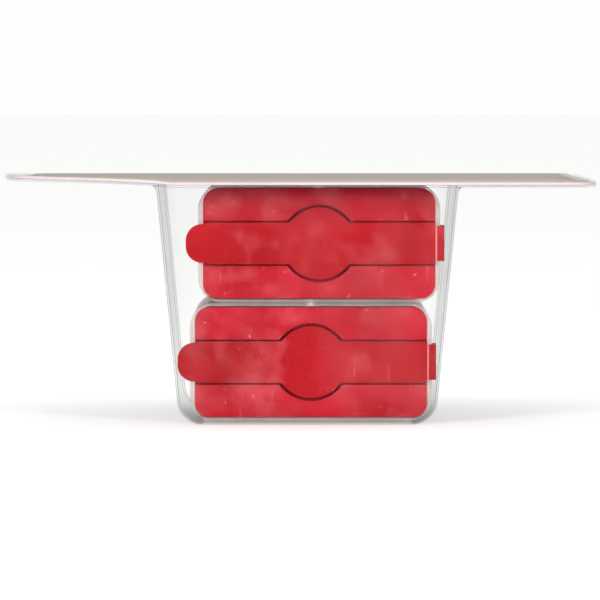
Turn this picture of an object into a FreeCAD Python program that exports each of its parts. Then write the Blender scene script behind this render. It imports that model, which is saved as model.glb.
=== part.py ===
"""A carded twin pack of cue chalk: a clear blister on a sliding backing card, holding two strapped
chalk cases that lie one on the other, with six wrapped cubes of chalk in each.

Frame: millimetres, +Z up. The pack lies on the flat front of its blister, with the card on top.
X runs across the card, +Y towards the card's hanging hole, and the origin is the centre of the card's
outline, dropped to the blister's front face. A case and what it holds are drawn about the centre of the
case's mouth, with their depth along their own +Z, and are turned so that this depth lies along +Y.
"""
import FreeCAD, Part
import math
import os
import re
import Sketcher

doc = FreeCAD.newDocument("cue_chalk_pack")

# ---------------------------------------------------------------- driving dimensions, in millimetres
SIZES = {
    # backing card, and the rails of the blister that it slides in
    "card_wide": 126.0, "card_tall": 152.4, "card_thick": 0.6, "card_corner": 5.0,
    "hang_radius": 4.0, "hang_from_top": 14.0,
    "film": 0.4, "flange_tall": 114.6, "rail_side_gap": 0.3,
    "rail_face_gap": 0.15, "rail_lip": 4.5, "rail_edge": 0.3,
    # blister bubble, measured at its flat front, with walls that lean outwards towards the card
    "bubble_deep": 52.0, "bubble_draft": 5.49, "bubble_wide": 56.0, "bubble_long": 84.6,
    "bubble_corner": 6.0, "bubble_edge": 5.0, "bubble_x": 1.4, "bubble_y": -18.9,
    # chalk case
    "case_wide": 53.0, "case_high": 25.9, "case_long": 74.0, "case_corner": 5.4,
    "side_wall": 1.0, "flat_wall": 0.7, "case_inner_corner": 3.0, "case_floor": 1.2, "case_back_edge": 2.5,
    "divider": 1.2,
    "upper_x": 4.0, "lower_x": 2.2, "mouth_y": -52.8, "lower_middle": 13.45, "upper_middle": 39.45,
    # lid
    "lid_wide": 50.8, "lid_high": 24.1, "lid_corner": 3.2, "lid_thick": 2.6,
    "skirt_deep": 2.4, "skirt_wall": 1.0,
    "channel_deep": 1.2, "channel_wide": 9.9, "channel_disc": 8.5,
    "socket_radius": 5.0, "socket_deep": 2.2, "socket_wall": 1.0, "socket_floor": 0.8,
    # strap, and the leaf that its hinge end is moulded to
    "strap_thick": 1.2, "strap_proud": 0.15, "strap_wide": 9.1, "strap_disc": 7.85,
    "strap_left": 29.2, "strap_right": 25.45, "tab_wide": 8.5, "tab_corner": 3.6,
    "stud_radius": 4.7, "stud_deep": 1.85,
    "leaf_start": 25.8, "leaf_outside": 27.4, "leaf_gap": 0.1, "leaf_wide": 7.7, "leaf_long": 13.0,
    "leaf_edge": 0.5, "peg_radius": 1.1, "peg_from_front": 8.0, "peg_gap": 0.1,
    # cubes of chalk and their paper
    "cube": 22.2, "dish_radius": 24.0, "dish_deep": 1.2, "paper": 0.15, "paper_short": 1.5,
    "chalk_start": 5.2, "row_pitch": 22.4, "bay_pitch": 24.2,
}
CUT_OVER = 1.0           # how far a cutting solid runs past the face that it opens
ROWS = 3                 # cubes along a case, in each of its two bays
SKETCH_START = (60.0, 40.0, 4.0)    # a rounded rectangle's sizes before its expressions act
CASE_TURN = FreeCAD.Rotation(FreeCAD.Vector(1, 0, 0), -90)

sheet = doc.addObject("Spreadsheet::Sheet", "sizes")
for row, (alias, length) in enumerate(SIZES.items(), start=1):
    sheet.set("A%d" % row, alias)
    sheet.set("B%d" % row, str(length))
    sheet.setAlias("B%d" % row, alias)
doc.recompute()
parts = {}               # node name: the object that carries its finished shape


# ---------------------------------------------------------------- helpers for features tied to the sheet
def in_sheet(expression):
    """The expression with each alias written as the sheet's own cell."""
    return re.sub(r"[a-z_]+", lambda word: "sizes." + word.group(), expression)


def tie(obj, links):
    for name, expression in links.items():
        obj.setExpression(name, in_sheet(expression))


def box(name, corner, lengths):
    """A box from its lowest corner and its three lengths, all expressions."""
    obj = doc.addObject("Part::Box", name)
    tie(obj, dict(zip(("Length", "Width", "Height"), lengths)))
    tie(obj, dict(zip(("Placement.Base.x", "Placement.Base.y", "Placement.Base.z"), corner)))
    return obj


def cylinder(name, foot, radius, height, axis=(0, 0, 1)):
    obj = doc.addObject("Part::Cylinder", name)
    obj.Placement.Rotation = FreeCAD.Rotation(FreeCAD.Vector(0, 0, 1), FreeCAD.Vector(*axis))
    tie(obj, {"Radius": radius, "Height": height})
    tie(obj, dict(zip(("Placement.Base.x", "Placement.Base.y", "Placement.Base.z"), foot)))
    return obj


def fuse(name, shapes):
    obj = doc.addObject("Part::MultiFuse", name)
    obj.Shapes = shapes
    obj.Refine = True
    return obj


def cut(name, base, tools):
    obj = doc.addObject("Part::Cut", name)
    obj.Base = base
    obj.Tool = tools[0] if len(tools) == 1 else fuse(name + "_tools", tools)
    obj.Refine = True
    return obj


def rounded(name, base, radius, chosen):
    """base with each edge that the test picks rounded to the sheet's radius."""
    doc.recompute()
    obj = doc.addObject("Part::Fillet", name)
    obj.Base = base
    amount = SIZES[radius]
    edges = [i for i, edge in enumerate(base.Shape.Edges, start=1) if chosen(edge.BoundBox)]
    obj.Edges = [(i, amount, amount) for i in edges]
    return obj


def new_body(name):
    return doc.addObject("PartDesign::Body", name)


def rounded_sketch(body, name, wide, high, corner, level):
    """A rounded rectangle about the body's own Z axis, at a height of its own."""
    sketch = body.newObject("Sketcher::SketchObject", name)
    plane = [f for f in body.Origin.OriginFeatures if f.Role == "XY_Plane"][0]
    sketch.AttachmentSupport = [(plane, "")]
    sketch.MapMode = "FlatFace"
    tie(sketch, {"AttachmentOffset.Base.z": level})
    half_w, half_h, r = SKETCH_START[0] / 2, SKETCH_START[1] / 2, SKETCH_START[2]
    sides = [
        ((r - half_w, -half_h), (half_w - r, -half_h)),
        ((half_w, r - half_h), (half_w, half_h - r)),
        ((half_w - r, half_h), (r - half_w, half_h)),
        ((-half_w, half_h - r), (-half_w, r - half_h)),
    ]
    corners = [(1, -1), (1, 1), (-1, 1), (-1, -1)]
    for i, (start, end) in enumerate(sides):
        line = Part.LineSegment(FreeCAD.Vector(*start), FreeCAD.Vector(*end))
        sketch.addGeometry(line, False)
        middle = FreeCAD.Vector(corners[i][0] * (half_w - r), corners[i][1] * (half_h - r))
        circle = Part.Circle(middle, FreeCAD.Vector(0, 0, 1), r)
        turn = math.pi / 2
        sketch.addGeometry(Part.ArcOfCircle(circle, (i - 1) * turn, i * turn), False)
    for i in range(4):
        line, arc, following = 2 * i, 2 * i + 1, (2 * i + 2) % 8
        sketch.addConstraint(Sketcher.Constraint(("Horizontal", "Vertical")[i % 2], line))
        sketch.addConstraint(Sketcher.Constraint("Tangent", line, 2, arc, 1))
        sketch.addConstraint(Sketcher.Constraint("Tangent", arc, 2, following, 1))
        if i:
            sketch.addConstraint(Sketcher.Constraint("Equal", 1, arc))
    sketch.addConstraint(Sketcher.Constraint("Symmetric", 1, 3, 5, 3, -1, 1))
    drivers = [
        (Sketcher.Constraint("DistanceX", 6, 1, 2, 1, 2 * half_w), wide),
        (Sketcher.Constraint("DistanceY", 0, 1, 4, 1, 2 * half_h), high),
        (Sketcher.Constraint("Radius", 1, r), corner),
    ]
    for constraint, expression in drivers:
        index = sketch.addConstraint(constraint)
        tie(sketch, {"Constraints[%d]" % index: expression})
    doc.recompute()
    return sketch


def pad(body, name, outline, level, depth, draft=None):
    """A rounded slab: outline is its width, height and corner, draft the lean of its walls."""
    sketch = rounded_sketch(body, name + "_sketch", *outline, level)
    feature = body.newObject("PartDesign::Pad", name)
    feature.Profile = sketch
    tie(feature, {"Length": depth})
    if draft:
        tie(feature, {"TaperAngle": draft})
    doc.recompute()
    return feature


def pocket(body, name, outline, level, depth, upwards=False, draft=None):
    """A rounded pocket from its level, down, or up where upwards is true. It has to take material."""
    before = body.Shape.Volume
    sketch = rounded_sketch(body, name + "_sketch", *outline, level)
    feature = body.newObject("PartDesign::Pocket", name)
    feature.Profile = sketch
    feature.Reversed = upwards
    tie(feature, {"Length": depth})
    if draft:
        tie(feature, {"TaperAngle": draft})
    doc.recompute()
    if body.Shape.Volume >= before:
        raise RuntimeError(name + " cuts nothing")
    return feature


def body_fillet(body, name, radius, chosen):
    """Rounds the edges of the body's last feature that the test picks."""
    base = body.Tip
    edges = ["Edge%d" % i for i, edge in enumerate(base.Shape.Edges, start=1)
             if chosen(edge.BoundBox)]
    feature = body.newObject("PartDesign::Fillet", name)
    feature.Base = (base, edges)
    tie(feature, {"Radius": radius})
    doc.recompute()
    return feature


def finish(node, obj, where=None, turn=None):
    """Gives the object its node's name and its place, which is three expressions."""
    obj.Label = node
    if turn:
        obj.Placement.Rotation = turn
    if where:
        tie(obj, dict(zip(("Placement.Base.x", "Placement.Base.y", "Placement.Base.z"), where)))
    parts[node] = obj


def lies_at(level):
    """Picks the edges that lie flat at one height."""
    return lambda bounds: abs(bounds.ZMin - level) < 1e-3 and abs(bounds.ZMax - level) < 1e-3


# ---------------------------------------------------------------- backing card
def make_card():
    """A sheet of paperboard with rounded corners and one round hanging hole."""
    body = new_body("card_blank")
    pad(body, "card_sheet", ("card_wide", "card_tall", "card_corner"), "0", "card_thick")
    hole = cylinder("card_hole", ("0", "card_tall / 2 - hang_from_top", "-%s" % CUT_OVER),
                    "hang_radius", "card_thick + 2 * %s" % CUT_OVER)
    card = cut("card_cut", body, [hole])
    finish("backing_card", card, ("0", "0", "bubble_deep + film + rail_face_gap"))


# ---------------------------------------------------------------- blister
def make_blister():
    """One sheet of clear film: a deep bubble, its flange, and two edges folded round the card."""
    body = new_body("bubble_solid")
    pad(body, "bubble_pad", ("bubble_wide", "bubble_long", "bubble_corner"), "0",
        "bubble_deep", "bubble_draft")
    body_fillet(body, "bubble_round", "bubble_edge", lies_at(0))
    inner = new_body("bubble_hollow")
    outline = ("bubble_wide - 2 * film", "bubble_long - 2 * film", "bubble_corner - film")
    pad(inner, "hollow_pad", outline, "0", "bubble_deep + %s" % CUT_OVER, "bubble_draft")
    body_fillet(inner, "hollow_round", "bubble_edge - film", lies_at(0))
    for obj in (body, inner):
        tie(obj, {"Placement.Base.x": "bubble_x", "Placement.Base.y": "bubble_y"})
    tie(inner, {"Placement.Base.z": "film"})

    half = "(card_wide / 2 + rail_side_gap + film)"
    start = "-card_tall / 2"
    flange = box("flange", ("-" + half, start, "bubble_deep"),
                 ("2 * " + half, "flange_tall", "film"))
    rise = "card_thick + 2 * rail_face_gap + 2 * film"
    lip_level = "bubble_deep + film + card_thick + 2 * rail_face_gap"
    rails = []
    for side, wall_x, lip_x in (
        ("left", "-" + half, "-" + half),
        ("right", half + " - film", half + " - rail_lip"),
    ):
        rails.append(box(side + "_rail_wall", (wall_x, start, "bubble_deep"),
                         ("film", "flange_tall", rise)))
        rails.append(box(side + "_rail_lip", (lip_x, start, lip_level),
                         ("rail_lip", "flange_tall", "film")))
    edge_x = SIZES["card_wide"] / 2 + SIZES["rail_side_gap"] + SIZES["film"]
    sheet_shape = rounded("folded_edges", fuse("flange_and_rails", [flange] + rails), "rail_edge",
                          lambda b: b.YLength > 1 and abs(abs(b.Center.x) - edge_x) < 1e-3)
    blister = cut("blister_cut", fuse("blister_outside", [body, sheet_shape]), [inner])
    finish("blister", blister)


# ---------------------------------------------------------------- chalk case, lid, strap and leaf
def placed(case):
    return (case + "_x", "mouth_y", case + "_middle")


def make_case(case):
    """A rounded box of frosted plastic, open at its mouth, with a wall between its two bays."""
    body = new_body(case + "_case_block")
    pad(body, case + "_case_pad", ("case_wide", "case_high", "case_corner"), "0", "case_long")
    body_fillet(body, case + "_case_back", "case_back_edge", lies_at(SIZES["case_long"]))
    inside = ("case_wide - 2 * side_wall", "case_high - 2 * flat_wall", "case_inner_corner")
    pocket(body, case + "_case_hollow", inside, "0", "case_long - case_floor", upwards=True)
    wall = box(case + "_case_divider",
               ("-divider / 2", "flat_wall / 2 - case_high / 2", "chalk_start"),
               ("divider", "case_high - flat_wall", "case_long - case_floor / 2 - chalk_start"))
    notch_high = "channel_wide + 2 * leaf_gap"
    notch_deep = "channel_deep + leaf_gap + %s" % CUT_OVER
    notches = [
        box("%s_case_notch_%s" % (case, side), (x, "-(%s) / 2" % notch_high, "-%s" % CUT_OVER),
            ("2 * side_wall + %s" % CUT_OVER, notch_high, notch_deep))
        for side, x in (("left", "-case_wide / 2 - %s" % CUT_OVER),
                        ("right", "case_wide / 2 - 2 * side_wall"))
    ]
    hole = cylinder(case + "_case_peg_hole", ("case_wide / 2 - 2 * side_wall", "0", "peg_from_front"),
                    "peg_radius + peg_gap", "3 * side_wall", (1, 0, 0))
    shell = cut(case + "_case_cut", fuse(case + "_case_walls", [body, wall]), notches + [hole])
    finish(case + "_case", shell, placed(case), CASE_TURN)


def make_lid(case):
    """A plug lid: a panel with a skirt behind, and a channel and a socket for the strap in front."""
    body = new_body(case + "_lid_block")
    depth = "lid_thick + skirt_deep"
    pad(body, case + "_lid_pad", ("lid_wide", "lid_high", "lid_corner"), "0", depth)
    inside = ("lid_wide - 2 * skirt_wall", "lid_high - 2 * skirt_wall", "lid_corner - skirt_wall")
    pocket(body, case + "_lid_skirt", inside, depth, "skirt_deep")
    cup = cylinder(case + "_lid_cup", ("0", "0", "channel_deep"), "socket_radius + socket_wall",
                   "socket_deep + socket_floor")
    over = "-%s" % CUT_OVER
    cutters = [
        box(case + "_lid_channel", ("-lid_wide / 2 - %s" % CUT_OVER, "-channel_wide / 2", over),
            ("lid_wide + 2 * %s" % CUT_OVER, "channel_wide", "channel_deep + %s" % CUT_OVER)),
        cylinder(case + "_lid_disc", ("0", "0", over), "channel_disc",
                 "channel_deep + %s" % CUT_OVER),
        cylinder(case + "_lid_socket", ("0", "0", "0"), "socket_radius",
                 "channel_deep + socket_deep"),
    ]
    lid = cut(case + "_lid_cut", fuse(case + "_lid_and_cup", [body, cup]), cutters)
    finish(case + "_lid", lid, placed(case), CASE_TURN)


def make_strap(case):
    """The flexible closing strap: a flat band with a pull tab, a thumb disc, and a stud behind it."""
    front = "-strap_proud"
    band = box(case + "_strap_band", ("-lid_wide / 2", "-strap_wide / 2", front),
               ("lid_wide / 2 + strap_right", "strap_wide", "strap_thick"))
    blank = box(case + "_tab_blank", ("-strap_left", "-tab_wide / 2", front),
                ("strap_left - lid_wide / 2 + %s" % CUT_OVER, "tab_wide", "strap_thick"))
    tab_end = -SIZES["strap_left"]
    tab = rounded(case + "_strap_tab", blank, "tab_corner",
                  lambda b: b.ZLength > b.XLength and abs(b.XMin - tab_end) < 1e-3
                  and b.YLength < 1e-3)
    disc = cylinder(case + "_strap_disc", ("0", "0", front), "strap_disc", "strap_thick")
    stud = cylinder(case + "_strap_stud", ("0", "0", "0"), "stud_radius",
                    "strap_thick - strap_proud + stud_deep")
    finish(case + "_strap", fuse(case + "_strap_all", [band, tab, disc, stud]), placed(case), CASE_TURN)


def make_leaf(case):
    """The strap's fixed end: it turns the corner of the case and is pegged into the side wall."""
    front = "-strap_proud"
    wall_x = "case_wide / 2 + leaf_gap"
    elbow = box(case + "_leaf_elbow", ("leaf_start", "-leaf_wide / 2", front),
                ("leaf_outside - leaf_start", "leaf_wide", "strap_thick"))
    leaf = box(case + "_leaf_plate", (wall_x, "-leaf_wide / 2", front),
               ("leaf_outside - (%s)" % wall_x, "leaf_wide", "leaf_long"))
    outer_x = SIZES["leaf_outside"]
    bent = rounded(case + "_leaf_bend", fuse(case + "_leaf_bent", [elbow, leaf]), "leaf_edge",
                   lambda b: b.YLength > 1 and abs(b.XMin - outer_x) < 1e-3
                   and b.ZMax < 0)
    peg = cylinder(case + "_leaf_peg", ("case_wide / 2 - side_wall", "0", "peg_from_front"),
                   "peg_radius", "side_wall + 2 * leaf_gap", (1, 0, 0))
    finish(case + "_hinge_leaf", fuse(case + "_leaf_all", [bent, peg]), placed(case), CASE_TURN)


# ---------------------------------------------------------------- chalk
def make_chalk(case, number, bay, row):
    """A pressed cube of chalk, dished on top, in a paper wrap that stops short of the dished face."""
    name = "%s_chalk_%d" % (case, number)
    paper = "%s_paper_%d" % (case, number)
    where = (
        "%s_x + %s * bay_pitch / 2" % (case, bay),
        "mouth_y + chalk_start + %d * row_pitch" % row,
        case + "_middle",
    )
    block = box(name + "_block", ("-cube / 2", "-cube / 2", "0"), ("cube", "cube", "cube"))
    ball = doc.addObject("Part::Sphere", name + "_ball")
    tie(ball, {"Radius": "dish_radius", "Placement.Base.z": "dish_deep - dish_radius"})
    finish(name, cut(name + "_cut", block, [ball]), where, CASE_TURN)

    side = "cube + 2 * paper"
    corner = "-(%s) / 2" % side
    outside = box(paper + "_outside", (corner, corner, "paper_short"),
                  (side, side, "cube + paper - paper_short"))
    inside = box(paper + "_inside", ("-cube / 2", "-cube / 2", "0"), ("cube", "cube", "cube"))
    finish(paper, cut(paper + "_cut", outside, [inside]), where, CASE_TURN)


make_card()
make_blister()
for case_name in ("lower", "upper"):
    make_case(case_name)
    make_lid(case_name)
    make_strap(case_name)
    make_leaf(case_name)
    for cube_number in range(2 * ROWS):
        make_chalk(case_name, cube_number + 1, (-1, 1)[cube_number % 2], cube_number // 2)
doc.recompute()

# ---------------------------------------------------------------- checks, and the files
for item in doc.Objects:
    if "Invalid" in item.State or "Error" in item.State:
        raise RuntimeError("%s failed: %s" % (item.Label, item.State))
os.makedirs("parts", exist_ok=True)
for old in os.listdir("parts"):
    os.remove(os.path.join("parts", old))
for node, item in parts.items():
    shape = item.Shape
    if shape.isNull() or not shape.isValid() or len(shape.Solids) != 1:
        raise RuntimeError("%s isn't one valid solid" % node)
    shape.exportStep("parts/%s.step" % node)
    bounds = shape.BoundBox
    print("%-18s volume %9.1f  x %7.2f %7.2f  y %7.2f %7.2f  z %6.2f %6.2f" % (
        node, shape.Volume, bounds.XMin, bounds.XMax, bounds.YMin, bounds.YMax,
        bounds.ZMin, bounds.ZMax))
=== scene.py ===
import bpy
import math
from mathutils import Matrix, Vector


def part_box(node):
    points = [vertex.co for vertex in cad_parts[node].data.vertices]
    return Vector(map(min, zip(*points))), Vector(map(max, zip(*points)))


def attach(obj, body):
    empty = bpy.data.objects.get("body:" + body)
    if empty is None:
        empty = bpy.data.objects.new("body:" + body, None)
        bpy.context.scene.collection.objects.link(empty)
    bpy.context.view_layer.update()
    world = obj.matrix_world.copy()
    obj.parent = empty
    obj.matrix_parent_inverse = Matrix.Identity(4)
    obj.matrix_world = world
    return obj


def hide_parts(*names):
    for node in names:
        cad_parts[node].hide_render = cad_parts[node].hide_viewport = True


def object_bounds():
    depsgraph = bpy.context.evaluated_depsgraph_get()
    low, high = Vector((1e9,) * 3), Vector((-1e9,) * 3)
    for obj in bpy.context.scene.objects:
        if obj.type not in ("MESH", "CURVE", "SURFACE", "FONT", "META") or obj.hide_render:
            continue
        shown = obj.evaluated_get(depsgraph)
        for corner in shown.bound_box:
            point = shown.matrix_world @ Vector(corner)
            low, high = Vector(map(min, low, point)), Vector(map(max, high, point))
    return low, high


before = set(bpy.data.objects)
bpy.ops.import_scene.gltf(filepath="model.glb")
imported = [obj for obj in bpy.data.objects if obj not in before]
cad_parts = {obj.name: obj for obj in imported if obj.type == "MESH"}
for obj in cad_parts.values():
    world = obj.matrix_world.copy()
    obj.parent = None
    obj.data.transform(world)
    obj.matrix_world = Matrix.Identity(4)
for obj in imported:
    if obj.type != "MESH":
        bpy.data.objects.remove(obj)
cad_low, cad_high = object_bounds()
MM = 0.001


# ---- Camera ----------------------------------------------------------------------------------------
# A long lens one and a half metres back from the pack's lower edge, held a little above the card, so
# that the card is nearly edge-on and the cases' lids face it through the blister's lower wall.
CAMERA_BACK = 1500 * MM
CAMERA_HEIGHT = 74.5 * MM
CAMERA_SIDE = -0.2 * MM
LOOK_HEIGHT = 27.3 * MM
LOOK_DEPTH = -60 * MM
LENS_MM = 418.0

eye = Vector((CAMERA_SIDE, cad_low.y - CAMERA_BACK, CAMERA_HEIGHT))
aim = Vector((CAMERA_SIDE, LOOK_DEPTH, LOOK_HEIGHT))
camera_data = bpy.data.cameras.new("camera")
camera_data.lens = LENS_MM
camera_data.clip_end = 50
camera = bpy.data.objects.new("camera", camera_data)
camera.location = eye
camera.rotation_euler = (aim - eye).to_track_quat("-Z", "Y").to_euler()
bpy.context.scene.collection.objects.link(camera)
bpy.context.scene.camera = camera


# ---- Studio ----------------------------------------------------------------------------------------
# A pale floor and a white backdrop. The sky is bright above and behind the pack and dim in front of
# it, so that the clear film doesn't veil what it holds, and soft boxes light the lids from the front.
SKY_BRIGHT = 1.0
SKY_DIM = 0.16
FLOOR_GLOW = 0.3             # seen by the camera only, so it lights nothing
FLOOR_SIZE = 30

bpy.context.scene.view_settings.view_transform = "Standard"
world = bpy.data.worlds.new("studio_sky")
world.use_nodes = True
sky = world.node_tree
shade = sky.nodes["Background"]
shade.inputs["Color"].default_value = (1.0, 0.995, 0.985, 1)
direction = sky.nodes.new("ShaderNodeTexCoord")
parts_of = sky.nodes.new("ShaderNodeSeparateXYZ")
fade = sky.nodes.new("ShaderNodeMapRange")
fade.inputs["From Min"].default_value = -0.75
fade.inputs["From Max"].default_value = 0.1
fade.inputs["To Min"].default_value = SKY_DIM
fade.inputs["To Max"].default_value = SKY_BRIGHT
ray = sky.nodes.new("ShaderNodeLightPath")
seen = sky.nodes.new("ShaderNodeMath")
seen.operation = "MAXIMUM"
sky.links.new(direction.outputs["Generated"], parts_of.inputs["Vector"])
sky.links.new(parts_of.outputs["Y"], fade.inputs["Value"])
sky.links.new(fade.outputs["Result"], seen.inputs[0])
sky.links.new(ray.outputs["Is Camera Ray"], seen.inputs[1])
sky.links.new(seen.outputs[0], shade.inputs["Strength"])
bpy.context.scene.world = world


def soft_box(name, place, target, wide, tall, power):
    """A flat lamp, turned to face its target. Lengths are in metres and the power is in watts."""
    light = bpy.data.lights.new(name, "AREA")
    light.shape = "RECTANGLE"
    light.size, light.size_y, light.energy = wide, tall, power
    lamp = bpy.data.objects.new(name, light)
    lamp.location = place
    lamp.rotation_euler = (Vector(target) - Vector(place)).to_track_quat("-Z", "Y").to_euler()
    bpy.context.scene.collection.objects.link(lamp)


soft_box("left_box", (-0.7, -1.2, 0.34), (0, -0.05, 0.03), 0.5, 0.4, 15)
soft_box("right_box", (0.75, -1.2, 0.3), (0, -0.05, 0.03), 0.3, 0.4, 8)
soft_box("glint_box", (0.5, -0.75, 0.12), (0.025, -0.055, 0.005), 0.07, 0.05, 2.2)

bpy.ops.object.select_all(action="DESELECT")
bpy.ops.mesh.primitive_plane_add(size=FLOOR_SIZE, location=(0, 0, 0))
floor = bpy.context.object
floor.name = "floor"
floor_paint = bpy.data.materials.new("pale_floor")
floor_paint.use_nodes = True
floor_shader = floor_paint.node_tree.nodes["Principled BSDF"]
floor_shader.inputs["Base Color"].default_value = (0.86, 0.86, 0.86, 1)
floor_shader.inputs["Roughness"].default_value = 0.9
floor_shader.inputs["Emission Color"].default_value = (FLOOR_GLOW, FLOOR_GLOW, FLOOR_GLOW, 1)
floor_ray = floor_paint.node_tree.nodes.new("ShaderNodeLightPath")
floor_paint.node_tree.links.new(floor_ray.outputs["Is Camera Ray"], floor_shader.inputs["Emission Strength"])
floor.data.materials.append(floor_paint)


# ---- Backing card ----------------------------------------------------------------------------------
# Greyback paperboard, die-cut with rounded corners and a round hanging hole, coated and printed in one
# plain tint on the side that faces the blister. It slides in the film's folded edges.
CARD_CORNER = 5 * MM
HANG_RADIUS = 4 * MM
HANG_FROM_TOP = 14 * MM
CARD_SOFT = 0.2 * MM
WARP_LIFT = 1.5 * MM         # how far the near left corner has curled up
WARP_START = -28 * MM        # it begins this far across, and fades out this far along
WARP_FADE = 40 * MM
BEND_LEFT = range(-60, -24, 4)      # the bends' places across, in millimetres
CARD_BENDS = range(-70, 50, 10)     # and along the card
# Painted light: from this far along to the near edge, the board is painted paler in patches.
PAINTED_LIGHT_END = -20 * MM


def slab(name, low, high):
    """A block between two corners."""
    bpy.ops.object.select_all(action="DESELECT")
    low, high = Vector(low), Vector(high)
    bpy.ops.mesh.primitive_cube_add(size=1, location=(low + high) / 2)
    block = bpy.context.object
    block.name = block.data.name = name
    block.scale = high - low
    bpy.ops.object.transform_apply(location=True, rotation=True, scale=True)
    return block


def rod(name, foot, radius, length, axis="Z", sides=96):
    """A cylinder from the middle of its foot, along +Y or +Z."""
    bpy.ops.object.select_all(action="DESELECT")
    along = Vector((0, 1, 0)) if axis == "Y" else Vector((0, 0, 1))
    bpy.ops.mesh.primitive_cylinder_add(vertices=sides, radius=radius, depth=length,
                                        location=Vector(foot) + along * length / 2)
    made = bpy.context.object
    made.name = made.data.name = name
    if axis == "Y":
        made.rotation_euler.x = math.pi / 2
    bpy.ops.object.transform_apply(location=True, rotation=True, scale=True)
    return made


def edit_with(piece, kind, test):
    """Opens the piece in edit mode with those edges or faces selected whose corners all pass."""
    bpy.ops.object.select_all(action="DESELECT")
    piece.select_set(True)
    bpy.context.view_layer.objects.active = piece
    bpy.ops.object.mode_set(mode="EDIT")
    bpy.ops.mesh.select_mode(type=kind)
    bpy.ops.mesh.select_all(action="DESELECT")
    bpy.ops.object.mode_set(mode="OBJECT")
    corners = piece.data.vertices
    for item in (piece.data.edges if kind == "EDGE" else piece.data.polygons):
        item.select = test([corners[v].co for v in item.vertices])
    bpy.ops.object.mode_set(mode="EDIT")


def round_off(piece, test, radius, segments):
    """Rounds the edges that pass the test."""
    edit_with(piece, "EDGE", test)
    bpy.ops.mesh.bevel(offset=radius, segments=segments, affect="EDGES", clamp_overlap=False)
    bpy.ops.object.mode_set(mode="OBJECT")


def along_axis(number):
    """Picks straight edges that run along one axis: 0, 1 or 2 for X, Y or Z."""
    return lambda ends: abs((ends[1] - ends[0]).normalized()[number]) > 0.999


def join(piece, other, operation):
    """Cuts the other shape out of the piece, or fuses it on, and takes the other away."""
    modifier = piece.modifiers.new("join", "BOOLEAN")
    modifier.operation = operation
    modifier.solver = "EXACT"
    modifier.object = other
    bpy.context.view_layer.objects.active = piece
    bpy.ops.object.modifier_apply(modifier=modifier.name)
    bpy.data.objects.remove(other)


SLIVER = 0.003 * MM


def soften(piece, width, segments=2):
    """Rounds every hard edge a little, merges the slivers that are left, and shades the rest smooth."""
    bevel = piece.modifiers.new("soften", "BEVEL")
    bevel.width, bevel.segments = width, segments
    bevel.limit_method, bevel.angle_limit = "ANGLE", math.radians(40)
    bpy.ops.object.select_all(action="DESELECT")
    piece.select_set(True)
    bpy.context.view_layer.objects.active = piece
    bpy.ops.object.modifier_apply(modifier=bevel.name)
    edit_with(piece, "FACE", lambda corners: True)
    bpy.ops.mesh.remove_doubles(threshold=SLIVER)
    bpy.ops.object.mode_set(mode="OBJECT")
    bpy.ops.object.shade_smooth_by_angle(angle=math.radians(35))


def slice_up(piece, axis, places):
    """Cuts the piece's faces across, so that it can bend."""
    edit_with(piece, "FACE", lambda corners: True)
    normal = [float(i == axis) for i in range(3)]
    for place in places:
        bpy.ops.mesh.select_all(action="SELECT")
        bpy.ops.mesh.bisect(plane_co=[n * place for n in normal], plane_no=normal)
    bpy.ops.object.mode_set(mode="OBJECT")


def curl(piece, lowest):
    """Lifts the near left corner of whatever lies above a height, as damp board does."""
    for vertex in piece.data.vertices:
        across = (WARP_START - vertex.co.x) / (WARP_START - cad_low.x)
        along = 1 - (vertex.co.y - cad_low.y) / (WARP_FADE - cad_low.y)
        if vertex.co.z > lowest and across > 0 and along > 0:
            vertex.co.z += WARP_LIFT * across ** 0.6 * min(along, 1) ** 1.5


def material(name):
    """A new node material, with its tree and its Principled shader."""
    made = bpy.data.materials.new(name)
    made.use_nodes = True
    tree = made.node_tree
    return made, tree, tree.nodes["Principled BSDF"]


def noise(tree, scale, detail=4.0, stretch=(1, 1, 1)):
    """Noise on the piece's own coordinates, in metres, stretched along an axis if asked."""
    place = tree.nodes.new("ShaderNodeTexCoord")
    mapping = tree.nodes.new("ShaderNodeMapping")
    mapping.inputs["Scale"].default_value = stretch
    texture = tree.nodes.new("ShaderNodeTexNoise")
    texture.inputs["Scale"].default_value = scale
    texture.inputs["Detail"].default_value = detail
    tree.links.new(place.outputs["Object"], mapping.inputs["Vector"])
    tree.links.new(mapping.outputs["Vector"], texture.inputs["Vector"])
    return texture.outputs["Fac"]


def ramp(tree, source, stops):
    """A colour ramp through (place, colour) stops."""
    node = tree.nodes.new("ShaderNodeValToRGB")
    elements = node.color_ramp.elements
    while len(elements) < len(stops):
        elements.new(0.5)
    for element, (place, colour) in zip(elements, stops):
        element.position = place
        element.color = (*colour, 1)
    tree.links.new(source, node.inputs["Fac"])
    return node.outputs["Color"]


def bump(tree, shader, source, strength, distance):
    node = tree.nodes.new("ShaderNodeBump")
    node.inputs["Strength"].default_value = strength
    node.inputs["Distance"].default_value = distance
    tree.links.new(source, node.inputs["Height"])
    tree.links.new(node.outputs["Normal"], shader.inputs["Normal"])


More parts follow.
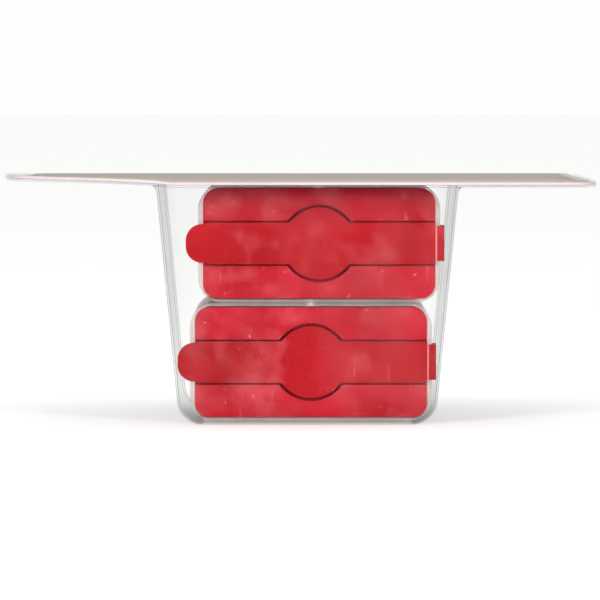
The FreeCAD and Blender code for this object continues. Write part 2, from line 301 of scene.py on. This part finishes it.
def board_material(name, light, dark, painted_light_colour, roughness, grain):
    """Paperboard: a fibre grain in colour and bump, and painted light that makes it paler in patches towards
    the near edge.
    """
    made, tree, shader = material(name)
    fibre = noise(tree, 700, 8, (0.55, 1, 1))
    place = tree.nodes.new("ShaderNodeTexCoord")
    parts_of = tree.nodes.new("ShaderNodeSeparateXYZ")
    tree.links.new(place.outputs["Object"], parts_of.inputs["Vector"])
    # Painted light: the colour is paler in patches towards the near edge.
    near = tree.nodes.new("ShaderNodeMapRange")
    near.inputs["From Min"].default_value = PAINTED_LIGHT_END
    near.inputs["From Max"].default_value = cad_low.y
    near.inputs["To Max"].default_value = 1.3
    tree.links.new(parts_of.outputs["Y"], near.inputs["Value"])
    patchy = tree.nodes.new("ShaderNodeMath")
    patchy.operation = "MULTIPLY"
    tree.links.new(near.outputs["Result"], patchy.inputs[0])
    tree.links.new(noise(tree, 35, 6), patchy.inputs[1])
    fade = tree.nodes.new("ShaderNodeMix")
    fade.data_type = "RGBA"
    fade.inputs["B"].default_value = (*painted_light_colour, 1)
    tree.links.new(patchy.outputs[0], fade.inputs["Factor"])
    tree.links.new(ramp(tree, fibre, [(0.3, dark), (0.7, light)]), fade.inputs["A"])
    tree.links.new(fade.outputs["Result"], shader.inputs["Base Color"])
    shader.inputs["Roughness"].default_value = roughness
    bump(tree, shader, fibre, grain, 0.05 * MM)
    return made


card_low, card_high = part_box("backing_card")
card = slab("card_board", card_low, card_high)
round_off(card, along_axis(2), CARD_CORNER, 10)
hang_foot = (0, card_high.y - HANG_FROM_TOP, card_low.z - 1 * MM)
join(card, rod("hang_punch", hang_foot, HANG_RADIUS, 3 * MM), "DIFFERENCE")
soften(card, CARD_SOFT)
slice_up(card, 0, [x * MM for x in BEND_LEFT])
slice_up(card, 1, [y * MM for y in CARD_BENDS])
# Each board's third colour is the paler painted light near the card's near edge.
for tint in (
    board_material("board_back", (0.43, 0.37, 0.32), (0.35, 0.295, 0.255), (0.62, 0.53, 0.49), 0.8, 0.5),
    board_material("board_print", (0.54, 0.42, 0.56), (0.48, 0.37, 0.50), (0.60, 0.48, 0.62), 0.35, 0.1),
    board_material("board_edge", (0.50, 0.43, 0.41), (0.40, 0.34, 0.32), (0.52, 0.45, 0.43), 0.9, 0.5),
):
    card.data.materials.append(tint)
for face in card.data.polygons:
    face.material_index = 2 if abs(face.normal.z) < 0.3 else (0 if face.normal.z > 0 else 1)
    face.use_smooth = abs(face.normal.z) < 0.9
curl(card, 0)
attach(card, "card")
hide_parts("backing_card")


# ---- Blister ---------------------------------------------------------------------------------------
# One sheet of clear film, drawn down hot over a mould: a deep bubble with a flat front, leaning walls
# and full corners, a flange round its mouth, and two side edges folded back over the card as rails.
FILM = 0.4 * MM
BUBBLE_MIDDLE = Vector((1.4, -18.9, 0)) * MM
BUBBLE_BASE = Vector((56, 84.6, 0)) * MM
BUBBLE_SPREAD = 10 * MM
BUBBLE_DEEP = 52 * MM
BUBBLE_CORNER = 6 * MM
BUBBLE_EDGE = 5 * MM
MOUTH_ROUND = 1.5 * MM
RAIL_LIP = 4.5 * MM
RAIL_EDGE = 0.8 * MM
MOUTH_REACH = 45 * MM        # the bubble's mouth lies within this of the middle, and the rails beyond
FILM_BENDS = range(-70, 38, 12)


def drawn_cup(name, inset, top):
    """The bubble's solid shape, taken in on every side by an inset and carried up to a height."""
    half = BUBBLE_BASE / 2 - Vector((inset, inset, 0))
    low = BUBBLE_MIDDLE - half + Vector((0, 0, inset))
    high = BUBBLE_MIDDLE + half + Vector((0, 0, top))
    cup = slab(name, low, high)
    round_off(cup, along_axis(2), BUBBLE_CORNER - inset, 12)
    lean = BUBBLE_SPREAD * (top - inset) / BUBBLE_DEEP
    edit_with(cup, "FACE", lambda corners: all(c.z > top - 0.1 * MM for c in corners))
    grow = (1 + lean / (2 * half.x), 1 + lean / (2 * half.y), 1)
    bpy.ops.transform.resize(value=grow, center_override=BUBBLE_MIDDLE + Vector((0, 0, top)))
    bpy.ops.object.mode_set(mode="OBJECT")
    round_off(cup, lambda ends: all(e.z < inset + 0.01 * MM for e in ends), BUBBLE_EDGE - inset, 10)
    return cup


def mouth_at(level):
    """Picks the edges of the bubble's mouth at one height, away from the flange's own outline."""
    def test(ends):
        return all(abs(e.z - level) < 0.01 * MM and abs(e.x) < MOUTH_REACH
                   and cad_low.y + 2 * MM < e.y < film_high.y - 2 * MM for e in ends)
    return test


def folded_rail(side):
    """One side edge of the sheet, folded back over the card."""
    inward = 1 if side < 0 else -1
    fold = sorted((side, side + inward * RAIL_LIP))
    rail = slab("rail", (fold[0], film_low.y, BUBBLE_DEEP), (fold[1], film_high.y, film_high.z))
    round_off(rail, lambda ends: along_axis(1)(ends) and all(
        abs(e.x - side) < 0.01 * MM for e in ends), RAIL_EDGE, 6)
    inner = side + inward * FILM
    gap = sorted((inner, side + inward * (RAIL_LIP + 1 * MM)))
    groove = slab("groove", (gap[0], film_low.y - 1 * MM, BUBBLE_DEEP + FILM),
                  (gap[1], film_high.y + 1 * MM, film_high.z - FILM))
    round_off(groove, lambda ends: along_axis(1)(ends) and all(
        abs(e.x - inner) < 0.01 * MM for e in ends), RAIL_EDGE - FILM, 4)
    join(rail, groove, "DIFFERENCE")
    return rail


def film_material():
    """Clear film: it greys where it is seen edge-on, glosses over at a slant, and is faintly scuffed."""
    made, tree, shader = material("clear_film")
    shader.inputs["Base Color"].default_value = (0.85, 0.86, 0.86, 1)
    shader.inputs["Metallic"].default_value = 0.75
    shader.inputs["Roughness"].default_value = 0.1
    clear = tree.nodes.new("ShaderNodeBsdfTransparent")
    weight = tree.nodes.new("ShaderNodeLayerWeight")
    weight.inputs["Blend"].default_value = 0.5
    tint = ramp(tree, weight.outputs["Facing"],
                [(0.0, (0.985, 0.988, 0.985)), (0.7, (0.965, 0.97, 0.965)), (0.85, (0.62, 0.63, 0.63)),
                 (0.93, (0.55, 0.56, 0.56)), (0.965, (0.94, 0.945, 0.94))])
    tree.links.new(tint, clear.inputs["Color"])
    smear = ramp(tree, noise(tree, 90, 9, (1, 1, 0.7)), [(0.42, (0.002,) * 3), (0.68, (0.017,) * 3)])
    slant = tree.nodes.new("ShaderNodeMath")
    slant.operation = "POWER"
    slant.inputs[1].default_value = 5.0
    tree.links.new(weight.outputs["Facing"], slant.inputs[0])
    gloss = tree.nodes.new("ShaderNodeMath")
    gloss.operation = "MULTIPLY_ADD"
    gloss.inputs[1].default_value = 0.3
    gloss.use_clamp = True
    tree.links.new(slant.outputs[0], gloss.inputs[0])
    tree.links.new(smear, gloss.inputs[2])
    mix = tree.nodes.new("ShaderNodeMixShader")
    tree.links.new(gloss.outputs[0], mix.inputs["Fac"])
    tree.links.new(clear.outputs[0], mix.inputs[1])
    tree.links.new(shader.outputs[0], mix.inputs[2])
    tree.links.new(mix.outputs[0], tree.nodes["Material Output"].inputs["Surface"])
    return made


film_low, film_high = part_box("blister")
film = drawn_cup("blister_film", 0, BUBBLE_DEEP + FILM / 2)
flange = slab("flange", (film_low.x + RAIL_EDGE, film_low.y, BUBBLE_DEEP),
              (film_high.x - RAIL_EDGE, film_high.y, BUBBLE_DEEP + FILM))
join(film, flange, "UNION")
for side in (film_low.x, film_high.x):
    join(film, folded_rail(side), "UNION")
join(film, drawn_cup("bubble_hollow", FILM, BUBBLE_DEEP + 2 * FILM), "DIFFERENCE")
round_off(film, mouth_at(BUBBLE_DEEP), MOUTH_ROUND, 5)
slice_up(film, 0, [x * MM for x in BEND_LEFT])
slice_up(film, 1, [y * MM for y in FILM_BENDS])
curl(film, BUBBLE_DEEP - MOUTH_ROUND)
bpy.ops.object.select_all(action="DESELECT")
film.select_set(True)
bpy.context.view_layer.objects.active = film
bpy.ops.object.shade_smooth_by_angle(angle=math.radians(35))
film.data.materials.append(film_material())
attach(film, "pack")
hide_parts("blister")


# ---- Chalk cases -----------------------------------------------------------------------------------
# Frosted polypropylene boxes, moulded in one with the wall between their two bays. The rim has a notch
# at each end that the closing strap lies in.
CASE_CORNER = 5.4 * MM
CASE_INNER_CORNER = 3 * MM
CASE_BACK_EDGE = 2.5 * MM
SIDE_WALL = 1.0 * MM
FLAT_WALL = 0.7 * MM
CASE_FLOOR = 1.2 * MM
DIVIDER = 1.2 * MM
DIVIDER_START = 5.2 * MM
NOTCH = Vector((2.0, 1.3, 10.1)) * MM
CASE_SOFT = 0.18 * MM


def frosted_material():
    """Frosted plastic: milky, finely pitted, and see-through enough to show the chalk behind it."""
    made, tree, shader = material("frosted_plastic")
    cloud = noise(tree, 60, 5)
    colour = ramp(tree, cloud, [(0.3, (0.80, 0.70, 0.68)), (0.7, (0.90, 0.81, 0.79))])
    tree.links.new(colour, shader.inputs["Base Color"])
    shader.inputs["Roughness"].default_value = 0.38
    bump(tree, shader, noise(tree, 4000, 2), 0.25, 0.03 * MM)
    glow = tree.nodes.new("ShaderNodeBsdfTranslucent")
    tree.links.new(colour, glow.inputs["Color"])
    clear = tree.nodes.new("ShaderNodeBsdfTransparent")
    clear.inputs["Color"].default_value = (1.0, 0.92, 0.905, 1)
    milky = tree.nodes.new("ShaderNodeMixShader")
    milky.inputs["Fac"].default_value = 0.5
    tree.links.new(shader.outputs[0], milky.inputs[1])
    tree.links.new(glow.outputs[0], milky.inputs[2])
    mix = tree.nodes.new("ShaderNodeMixShader")
    haze = ramp(tree, noise(tree, 250, 6), [(0.35, (0.52,) * 3), (0.65, (0.62,) * 3)])
    tree.links.new(haze, mix.inputs["Fac"])
    tree.links.new(milky.outputs[0], mix.inputs[1])
    tree.links.new(clear.outputs[0], mix.inputs[2])
    tree.links.new(mix.outputs[0], tree.nodes["Material Output"].inputs["Surface"])
    return made


def case_shell(case, finish):
    low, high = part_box(case + "_case")
    middle = (low + high) / 2
    shell = slab(case + "_case_shell", low, high)
    round_off(shell, along_axis(1), CASE_CORNER, 12)
    round_off(shell, lambda ends: all(e.y > high.y - 0.01 * MM for e in ends), CASE_BACK_EDGE, 5)
    wall = Vector((SIDE_WALL, 0, FLAT_WALL))
    hollow = slab("hollow", low + wall - Vector((0, 1 * MM, 0)),
                  high - wall - Vector((0, CASE_FLOOR, 0)))
    round_off(hollow, along_axis(1), CASE_INNER_CORNER, 8)
    join(shell, hollow, "DIFFERENCE")
    inside = Vector((DIVIDER / 2, 0, high.z - middle.z - FLAT_WALL / 2))
    join(shell, slab("divider", Vector((middle.x, low.y + DIVIDER_START, middle.z)) - inside,
                     Vector((middle.x, high.y - CASE_FLOOR / 2, middle.z)) + inside), "UNION")
    for end in (low.x, high.x):
        corner = Vector((end, low.y, middle.z))
        reach = Vector((NOTCH.x, NOTCH.y, NOTCH.z / 2))
        join(shell, slab("notch", corner - reach, corner + reach), "DIFFERENCE")
    soften(shell, CASE_SOFT)
    shell.data.materials.append(finish)
    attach(shell, "pack")
    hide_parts(case + "_case")


frosted = frosted_material()
for case_name in ("lower", "upper"):
    case_shell(case_name, frosted)


# ---- Lids ------------------------------------------------------------------------------------------
# Red polypropylene plugs: a panel that fills the case's mouth, a skirt behind it that grips the walls,
# and in front a channel for the strap, with a round socket that the strap's stud snaps into.
LID_CORNER = 3.2 * MM
LID_PANEL = 2.6 * MM
SKIRT_WALL = 1 * MM
CHANNEL_DEEP = 1.2 * MM
CHANNEL_WIDE = 9.9 * MM
CHANNEL_DISC = 8.5 * MM
SOCKET_RADIUS = 5 * MM
SOCKET_DEEP = 2.2 * MM
SOCKET_WALL = 1 * MM
SOCKET_FLOOR = 0.8 * MM
LID_SOFT = 0.22 * MM


def red_material(name, deep, bright):
    """Moulded red plastic: clouded colour, rubbed patches, fine scratches and pale specks of dust."""
    made, tree, shader = material(name)
    colour = ramp(tree, noise(tree, 70, 4), [(0.35, deep), (0.65, bright)])
    marks = [
        (noise(tree, 160, 10), [(0.50, (0, 0, 0)), (0.72, (0.20,) * 3)]),
        (noise(tree, 900, 3, (1, 1, 0.12)), [(0.68, (0, 0, 0)), (0.76, (0.30,) * 3)]),
        (noise(tree, 1300, 2), [(0.70, (0, 0, 0)), (0.76, (0.75,) * 3)]),
    ]
    for source, stops in marks:
        rubbed = tree.nodes.new("ShaderNodeMix")
        rubbed.data_type = "RGBA"
        rubbed.inputs["B"].default_value = (0.72, 0.16, 0.18, 1)
        tree.links.new(ramp(tree, source, stops), rubbed.inputs["Factor"])
        tree.links.new(colour, rubbed.inputs["A"])
        colour = rubbed.outputs["Result"]
    tree.links.new(colour, shader.inputs["Base Color"])
    rough = ramp(tree, noise(tree, 300, 3), [(0.3, (0.34,) * 3), (0.7, (0.48,) * 3)])
    tree.links.new(rough, shader.inputs["Roughness"])
    shader.inputs["Specular IOR Level"].default_value = 0.12
    bump(tree, shader, noise(tree, 1800, 5), 0.35, 0.05 * MM)
    return made


def lid_panel(case, finish, shade):
    low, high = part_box(case + "_lid")
    middle = (low + high) / 2
    lid = slab(case + "_lid_panel", low, high)
    round_off(lid, along_axis(1), LID_CORNER, 10)
    skirt = Vector((SKIRT_WALL, 0, SKIRT_WALL))
    behind = slab("behind", low + skirt + Vector((0, LID_PANEL, 0)),
                  high - skirt + Vector((0, 1 * MM, 0)))
    round_off(behind, along_axis(1), LID_CORNER - SKIRT_WALL, 8)
    join(lid, behind, "DIFFERENCE")
    face = Vector((middle.x, low.y, middle.z))
    cup_deep = Vector((0, CHANNEL_DEEP, 0))
    join(lid, rod("socket_cup", face + cup_deep, SOCKET_RADIUS + SOCKET_WALL,
                  SOCKET_DEEP + SOCKET_FLOOR, "Y"), "UNION")
    reach = Vector((high.x - middle.x + 1 * MM, 0, CHANNEL_WIDE / 2))
    ahead = Vector((0, 1 * MM, 0))
    channel = slab("channel", face - reach - ahead, face + reach + cup_deep)
    join(channel, rod("channel_disc", face - ahead, CHANNEL_DISC, 1 * MM + CHANNEL_DEEP, "Y", 128),
         "UNION")
    join(lid, channel, "DIFFERENCE")
    join(lid, rod("socket", face, SOCKET_RADIUS, CHANNEL_DEEP + SOCKET_DEEP, "Y"), "DIFFERENCE")
    soften(lid, LID_SOFT)
    lid.data.materials.append(finish)
    lid.data.materials.append(shade)
    # Painted shade: every face set back from the lid's front face gets the darker red, including the channel
    # and the socket.
    for face in lid.data.polygons:
        face.material_index = int(face.center.y > low.y + LID_SOFT * 1.5)
    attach(lid, "pack")
    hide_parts(case + "_lid")


lid_red = red_material("lid_red", (0.335, 0.003, 0.010), (0.43, 0.010, 0.022))
# A darker copy of the lid's red, used as painted shade for the channel, the socket and the lid's faces
# behind its front.
channel_painted_shade_red = red_material("channel_painted_shade_red", (0.16, 0.000, 0.003), (0.22, 0.002, 0.006))
for case_name in ("lower", "upper"):
    lid_panel(case_name, lid_red, channel_painted_shade_red)


# ---- Straps ----------------------------------------------------------------------------------------
# A flexible red strap closes each case: a band with a rounded pull tab past the case's left side, a
# thumb disc over the socket with a stud behind it, and a thin web at its right end that it hinges on.
STRAP_THICK = 1.2 * MM
STRAP_WIDE = 9.1 * MM
TAB_WIDE = 8.5 * MM
TAB_CORNER = 3.6 * MM
STRAP_DISC = 7.85 * MM
STUD_RADIUS = 4.7 * MM
STRAP_SOFT = 0.16 * MM
BAND_INSET = 0.4 * MM        # the band's left end, in from the lid's edge
TAB_LAP = 2 * MM             # how far the tab runs into the band
WEB_WIDE = 0.9 * MM
WEB_THICK = 0.45 * MM
WEB_HIGH = 7.4 * MM
WEB_BEHIND = 0.25 * MM
WEB_SOFT = 0.12 * MM


def strap_piece(case, finish):
    low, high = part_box(case + "_strap")
    lid_low, lid_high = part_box(case + "_lid")
    middle = (lid_low + lid_high) / 2
    front = Vector((middle.x, low.y, middle.z))
    band_left = lid_low.x + BAND_INSET
    strap = slab(case + "_strap_band", (band_left, low.y, middle.z - STRAP_WIDE / 2),
                 (high.x, low.y + STRAP_THICK, middle.z + STRAP_WIDE / 2))
    tab = slab("tab", (low.x, low.y, middle.z - TAB_WIDE / 2),
               (band_left + TAB_LAP, low.y + STRAP_THICK, middle.z + TAB_WIDE / 2))
    round_off(tab, lambda ends: along_axis(1)(ends) and all(e.x < low.x + 1 * MM for e in ends),
              TAB_CORNER, 12)
    join(strap, tab, "UNION")
    join(strap, rod("disc", front, STRAP_DISC, STRAP_THICK, "Y", 128), "UNION")
    join(strap, rod("stud", front + Vector((0, STRAP_THICK / 2, 0)), STUD_RADIUS,
                    high.y - low.y - STRAP_THICK / 2, "Y"), "UNION")
    soften(strap, STRAP_SOFT)
    strap.data.materials.append(finish)
    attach(strap, case + "_strap")
    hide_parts(case + "_strap")


# The web is pale pink: a painted highlight for the bright line along the strap's fold.
def hinge_web(case, finish):
    low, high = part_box(case + "_strap")
    middle = (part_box(case + "_lid")[0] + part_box(case + "_lid")[1]) / 2
    start = Vector((high.x - WEB_WIDE / 4, low.y + WEB_BEHIND, middle.z - WEB_HIGH / 2))
    web = slab(case + "_hinge_web", start, start + Vector((WEB_WIDE, WEB_THICK, WEB_HIGH)))
    soften(web, WEB_SOFT)
    web.data.materials.append(finish)
    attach(web, "pack")


strap_red = red_material("strap_red", (0.285, 0.001, 0.004), (0.365, 0.003, 0.009))
# A pale red that paints the highlight on the strap's fold.
fold_highlight_red = red_material("fold_highlight_red", (0.72, 0.20, 0.22), (0.85, 0.42, 0.42))
for case_name in ("lower", "upper"):
    strap_piece(case_name, strap_red)
    hinge_web(case_name, fold_highlight_red)


# ---- Hinge leaves ----------------------------------------------------------------------------------
# The strap's fixed end. It turns the corner of the case, lies along its side wall, and is held there
# by a peg moulded on its inner face, pressed into a hole in the wall.
LEAF_THICK = 0.8 * MM
LEAF_ELBOW = 1.6 * MM
LEAF_EDGE = 0.5 * MM
PEG_RADIUS = 1.1 * MM
PEG_FROM_FRONT = 8 * MM
LEAF_END_CORNER = 2 * MM
LEAF_SOFT = 0.12 * MM


def leaf_piece(case, finish):
    low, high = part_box(case + "_hinge_leaf")
    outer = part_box(case + "_case")[1].x
    leaf = slab(case + "_leaf_plate", (high.x - LEAF_THICK, low.y, low.z), high)
    round_off(leaf, lambda ends: along_axis(0)(ends) and all(e.y > high.y - 1 * MM for e in ends),
              LEAF_END_CORNER, 8)
    join(leaf, slab("elbow", (high.x - LEAF_ELBOW, low.y, low.z),
                    (high.x - LEAF_THICK / 2, low.y + STRAP_THICK, high.z)), "UNION")
    round_off(leaf, lambda ends: along_axis(2)(ends) and all(
        e.x > high.x - 0.01 * MM and e.y < low.y + 0.01 * MM for e in ends), LEAF_EDGE, 6)
    bpy.ops.object.select_all(action="DESELECT")
    peg_foot = Vector((low.x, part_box(case + "_lid")[0].y + PEG_FROM_FRONT, (low.z + high.z) / 2))
    peg_long = outer - low.x + 1 * MM
    bpy.ops.mesh.primitive_cylinder_add(vertices=48, radius=PEG_RADIUS, depth=peg_long,
                                        location=peg_foot + Vector((peg_long / 2, 0, 0)),
                                        rotation=(0, math.pi / 2, 0))
    peg = bpy.context.object
    bpy.ops.object.transform_apply(location=True, rotation=True, scale=True)
    join(leaf, peg, "UNION")
    soften(leaf, LEAF_SOFT)
    leaf.data.materials.append(finish)
    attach(leaf, "pack")
    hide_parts(case + "_hinge_leaf")


for case_name in ("lower", "upper"):
    leaf_piece(case_name, strap_red)


# ---- Chalk -----------------------------------------------------------------------------------------
# Twelve pressed cubes of blue chalk, six to a case, each dished on the face towards the lid where the
# cue's tip goes, with worn edges and a dry, powdery, pitted skin.
DISH_RADIUS = 24 * MM
DISH_DEEP = 1.2 * MM
CHALK_SOFT = 0.5 * MM
CUBES = 6


def chalk_material():
    made, tree, shader = material("blue_chalk")
    powder = noise(tree, 700, 8)
    colour = ramp(tree, powder, [(0.35, (0.03, 0.17, 0.38)), (0.7, (0.09, 0.30, 0.54))])
    tree.links.new(colour, shader.inputs["Base Color"])
    shader.inputs["Roughness"].default_value = 0.95
    shader.inputs["Specular IOR Level"].default_value = 0.1
    bump(tree, shader, powder, 0.7, 0.12 * MM)
    return made


def copy_of(piece, name, shift):
    """A copy with its own mesh, moved in its mesh so that its object stays at the origin."""
    twin = piece.copy()
    twin.data = piece.data.copy()
    twin.name = twin.data.name = name
    bpy.context.scene.collection.objects.link(twin)
    for vertex in twin.data.vertices:
        vertex.co += shift
    return twin


chalk_finish = chalk_material()
first_low, first_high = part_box("lower_chalk_1")
cube = slab("lower_chalk_1_cube", first_low, first_high)
bpy.ops.object.select_all(action="DESELECT")
ball_middle = ((first_low.x + first_high.x) / 2, first_low.y + DISH_DEEP - DISH_RADIUS,
               (first_low.z + first_high.z) / 2)
bpy.ops.mesh.primitive_uv_sphere_add(segments=128, ring_count=64, radius=DISH_RADIUS,
                                     location=ball_middle, rotation=(math.pi / 2, 0, 0))
ball = bpy.context.object
bpy.ops.object.transform_apply(location=True, rotation=True, scale=True)
join(cube, ball, "DIFFERENCE")
soften(cube, CHALK_SOFT, 3)
cube.data.materials.append(chalk_finish)
for case_name in ("lower", "upper"):
    for number in range(1, CUBES + 1):
        node = "%s_chalk_%d" % (case_name, number)
        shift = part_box(node)[0] - first_low
        piece = copy_of(cube, node + "_block", shift)
        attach(piece, "pack")
        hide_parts(node)
bpy.data.objects.remove(cube)


# ---- Paper wraps -----------------------------------------------------------------------------------
# Thin coated paper is glued round each cube and folded under it, and stops a little short of the dished
# face. It is plain, with no label.
PAPER = 0.15 * MM
PAPER_SOFT = 0.06 * MM


def wrap_material():
    made, tree, shader = material("wrap_paper")
    fibre = noise(tree, 1200, 6, (1, 0.3, 1))
    colour = ramp(tree, fibre, [(0.3, (0.10, 0.32, 0.54)), (0.7, (0.16, 0.40, 0.62))])
    tree.links.new(colour, shader.inputs["Base Color"])
    shader.inputs["Roughness"].default_value = 0.5
    bump(tree, shader, fibre, 0.2, 0.04 * MM)
    return made


wrap_finish = wrap_material()
wrap_low, wrap_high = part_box("lower_paper_1")
wrap = slab("wrap", wrap_low, wrap_high)
round_off(wrap, along_axis(1), CHALK_SOFT, 4)
inner_low = Vector((wrap_low.x + PAPER, wrap_low.y - 1 * MM, wrap_low.z + PAPER))
inner_high = wrap_high - Vector((PAPER, PAPER, PAPER))
cube_space = slab("cube_space", inner_low, inner_high)
round_off(cube_space, along_axis(1), CHALK_SOFT, 4)
join(wrap, cube_space, "DIFFERENCE")
soften(wrap, PAPER_SOFT, 1)
wrap.data.materials.append(wrap_finish)
for case_name in ("lower", "upper"):
    for number in range(1, CUBES + 1):
        node = "%s_paper_%d" % (case_name, number)
        piece = copy_of(wrap, node + "_wrap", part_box(node)[0] - wrap_low)
        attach(piece, "pack")
        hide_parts(node)
bpy.data.objects.remove(wrap)
